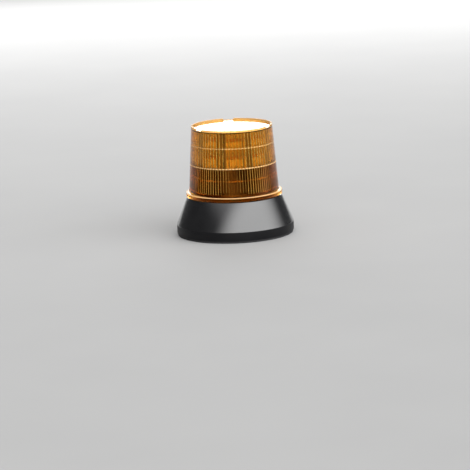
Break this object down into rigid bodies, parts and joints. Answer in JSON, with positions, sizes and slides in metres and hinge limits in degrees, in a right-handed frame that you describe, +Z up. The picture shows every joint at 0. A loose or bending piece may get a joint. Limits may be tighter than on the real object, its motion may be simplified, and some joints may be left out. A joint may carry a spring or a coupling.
{
  "type": "led strobe beacon",
  "caption": "Roof-mounted warning beacon: black conical base, twist-off ribbed amber lens and an octagonal LED tower with two tiers of reflectors.",
  "frame": {"origin": "centre of the gasket's underside, where the beacon stands on the roof", "axes": "+Z up through the lens, -Y towards the side seen in the picture"},
  "size_m": [0.15, 0.15, 0.1403],
  "materials": {
    "gasket_rubber": "dull black rubber",
    "base_black": "smooth black moulded plastic",
    "inner_black": "matt black moulded plastic",
    "lens_amber": "clear amber polycarbonate",
    "tower_black": "black anodised extrusion",
    "reflector_chrome": "vacuum metallised",
    "board_white": "white solder mask",
    "board_green": "green solder mask",
    "led_amber": "amber phosphor",
    "insert_brass": "turned",
    "screw_steel": "zinc plated",
    "can_aluminium": "sleeved can",
    "coil_ferrite": "wound ferrite ring",
    "chip_black": "moulded epoxy",
    "terminal_green": "moulded nylon",
    "lead_red": "insulated wire"
  },
  "bodies": {
    "base": {"mounting_gasket": "gasket_rubber", "base_housing": "base_black", "threaded_inserts": "insert_brass", "lens_seal": "gasket_rubber", "bottom_cover": "inner_black", "bottom_cover_screws": "screw_steel", "cable_grommet": "gasket_rubber", "breather_vent": "inner_black", "driver_board": "board_green", "board_screws": "screw_steel", "board_capacitors": "can_aluminium", "board_inductors": "coil_ferrite", "board_chips": "chip_black", "terminal_block": "terminal_green", "supply_leads": "lead_red", "pedestal_drum": "inner_black", "pedestal_screws": "screw_steel", "link_board": "board_green", "board_sockets": "inner_black", "tower_carrier": "inner_black", "tower_core": "tower_black", "tower_cap": "tower_black", "tower_screws": "screw_steel", "led_board_1": "board_white", "leds_1": "led_amber", "reflector_1": "reflector_chrome", "led_board_2": "board_white", "leds_2": "led_amber", "reflector_2": "reflector_chrome", "led_board_3": "board_white", "leds_3": "led_amber", "reflector_3": "reflector_chrome", "led_board_4": "board_white", "leds_4": "led_amber", "reflector_4": "reflector_chrome", "led_board_5": "board_white", "leds_5": "led_amber", "reflector_5": "reflector_chrome", "led_board_6": "board_white", "leds_6": "led_amber", "reflector_6": "reflector_chrome", "led_board_7": "board_white", "leds_7": "led_amber", "reflector_7": "reflector_chrome", "led_board_8": "board_white", "leds_8": "led_amber", "reflector_8": "reflector_chrome"},
    "lens": {"lens_dome": "lens_amber"}
  },
  "joints": [
    {"name": "lens_twist", "type": "hinge", "parent": "base", "child": "lens", "pos_m": [0, 0, 0.0505], "axis": [0, 0, 1], "range_deg": [0, 30]}
  ]
}
